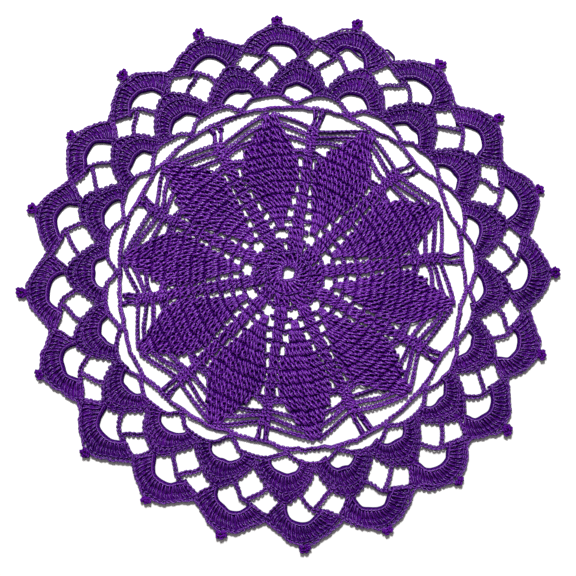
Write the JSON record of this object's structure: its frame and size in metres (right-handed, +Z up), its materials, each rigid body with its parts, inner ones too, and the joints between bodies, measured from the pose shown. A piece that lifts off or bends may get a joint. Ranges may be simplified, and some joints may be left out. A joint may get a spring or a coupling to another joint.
{
  "type": "crocheted lace doily",
  "caption": "Round crocheted cotton lace doily lying flat, with a petalled flower, arched fans, chain mesh and a scalloped edge with picots.",
  "frame": {"origin": "on the surface the doily lies on, under the middle of its outline", "axes": "+Z up through the lace, +Y towards the top of the picture, +X to its right"},
  "size_m": [0.2389, 0.2398, 0.0023],
  "materials": {
    "violet_cotton": "mercerised cotton thread, soft sheen, dyed violet"
  },
  "bodies": {
    "root": {"doily": "violet_cotton"}
  },
  "joints": []
}
